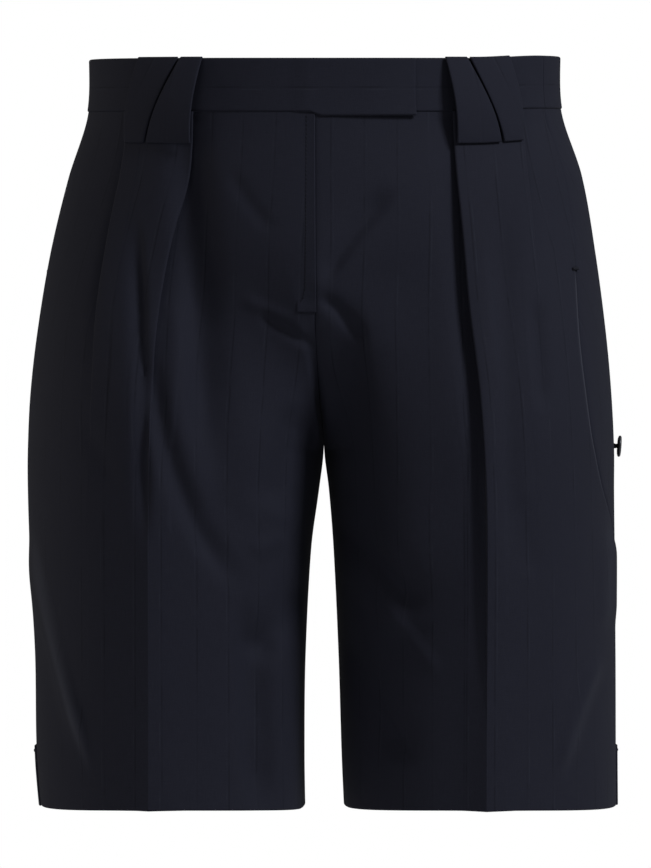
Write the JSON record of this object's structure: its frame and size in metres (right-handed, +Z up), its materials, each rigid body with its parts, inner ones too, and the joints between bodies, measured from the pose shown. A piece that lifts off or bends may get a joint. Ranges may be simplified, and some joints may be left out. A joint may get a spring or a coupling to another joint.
{
  "type": "bermuda shorts",
  "caption": "Pleated knee-length suiting shorts, filled out to a worn shape, open and hollow at the waist and hems.",
  "frame": {"origin": "centre of the waistband, halfway up the band, inside the hollow where the wearer's waist carries the garment", "axes": "+Z up, towards the waist. The front faces -Y and +X is the wearer's left."},
  "size_m": [0.3874, 0.2534, 0.4914],
  "materials": {
    "suiting": "matte fine wool twill with a faint thread stripe",
    "button": "dark horn, softly polished"
  },
  "bodies": {
    "root": {"front_right": "suiting", "front_left": "suiting", "back_right": "suiting", "back_left": "suiting", "pocket_facing_right": "suiting", "pocket_facing_left": "suiting", "hem_strap_right": "suiting", "hem_strap_left": "suiting", "belt_loop_right_over": "suiting", "belt_loop_right_under": "suiting", "belt_loop_left_over": "suiting", "belt_loop_left_under": "suiting", "waistband_right": "suiting", "waistband_left": "suiting", "waistband_back": "suiting", "fly_overlap": "suiting", "belt_loop_back_right": "suiting", "belt_loop_back_centre": "suiting", "belt_loop_back_left": "suiting", "button_right": "button", "button_left": "button"}
  },
  "joints": []
}
